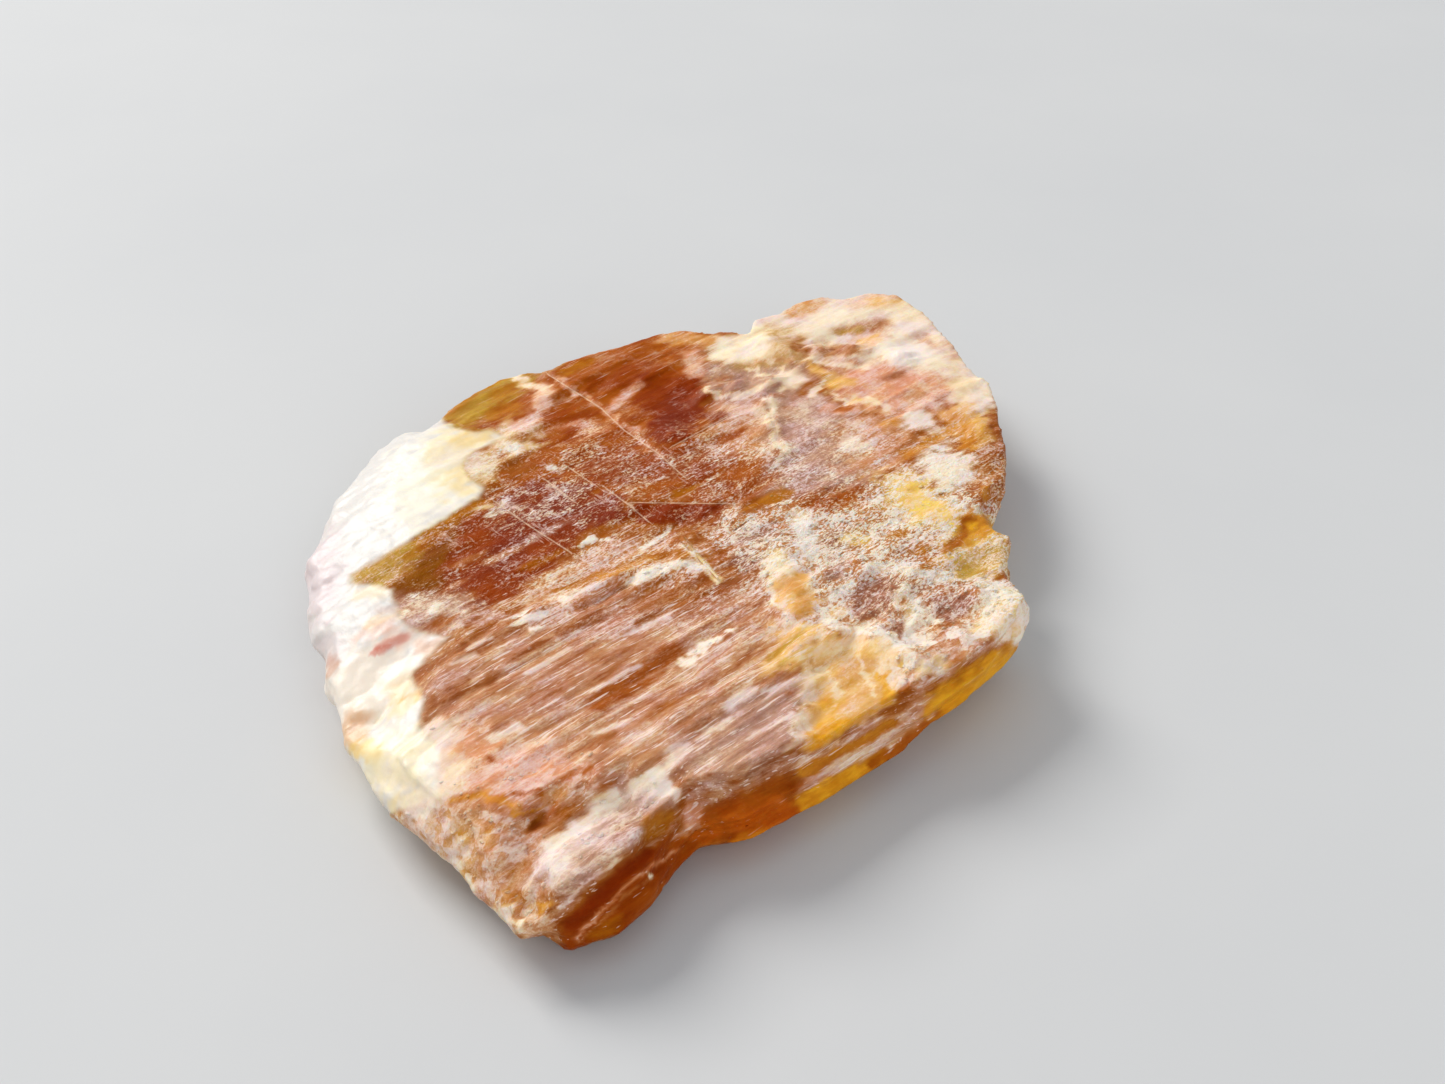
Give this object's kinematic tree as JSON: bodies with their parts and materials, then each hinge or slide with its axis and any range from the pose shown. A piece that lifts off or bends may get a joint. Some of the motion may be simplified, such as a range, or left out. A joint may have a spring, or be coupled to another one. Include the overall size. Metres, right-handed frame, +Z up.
{
  "type": "kyanite crystal",
  "caption": "Flat cleavage slab of orange-brown kyanite with fibrous striated face, lamellar broken edges and white quartz matrix grown along its left edge.",
  "frame": {"origin": "middle of the bounding box in plan, on the flat cleavage face that the chip rests on", "axes": "+Z up, out of the good cleavage face; +Y along the chip's longest extent, from the pointed nose to the rounded back lobe; +X to the right, away from the white quartz edge; the fibres run about 43 degrees anticlockwise from +X"},
  "size_m": [0.0208, 0.0278, 0.0031],
  "materials": {
    "kyanite": "translucent orange-brown kyanite, pearly to vitreous, fibrous striae along the crystal's length, white quartz matrix and pale crush along cracks and edges"
  },
  "bodies": {
    "root": {"kyanite_crystal": "kyanite"}
  },
  "joints": []
}
